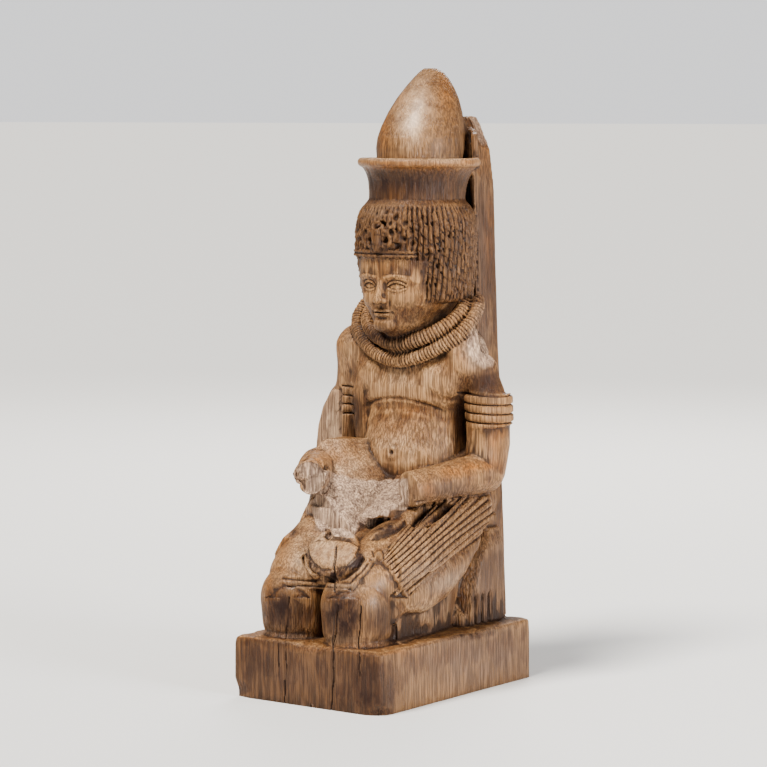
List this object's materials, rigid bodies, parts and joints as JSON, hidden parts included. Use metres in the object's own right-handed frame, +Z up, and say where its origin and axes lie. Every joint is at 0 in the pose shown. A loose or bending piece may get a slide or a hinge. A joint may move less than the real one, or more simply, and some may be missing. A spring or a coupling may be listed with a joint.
{
  "type": "kneeling statuette",
  "caption": "Wooden statuette of a kneeling king with a tall crown, short curled wig, bead collar and pleated kilt, on a plinth with a back pillar.",
  "frame": {"origin": "centre of the plinth's flat underside", "axes": "+Z up the figure; the figure faces -Y, and +X is its left hand's side"},
  "size_m": [0.1098, 0.1256, 0.2999],
  "materials": {
    "wood": "satin"
  },
  "bodies": {
    "root": {"kneeling_king": "wood"}
  },
  "joints": []
}
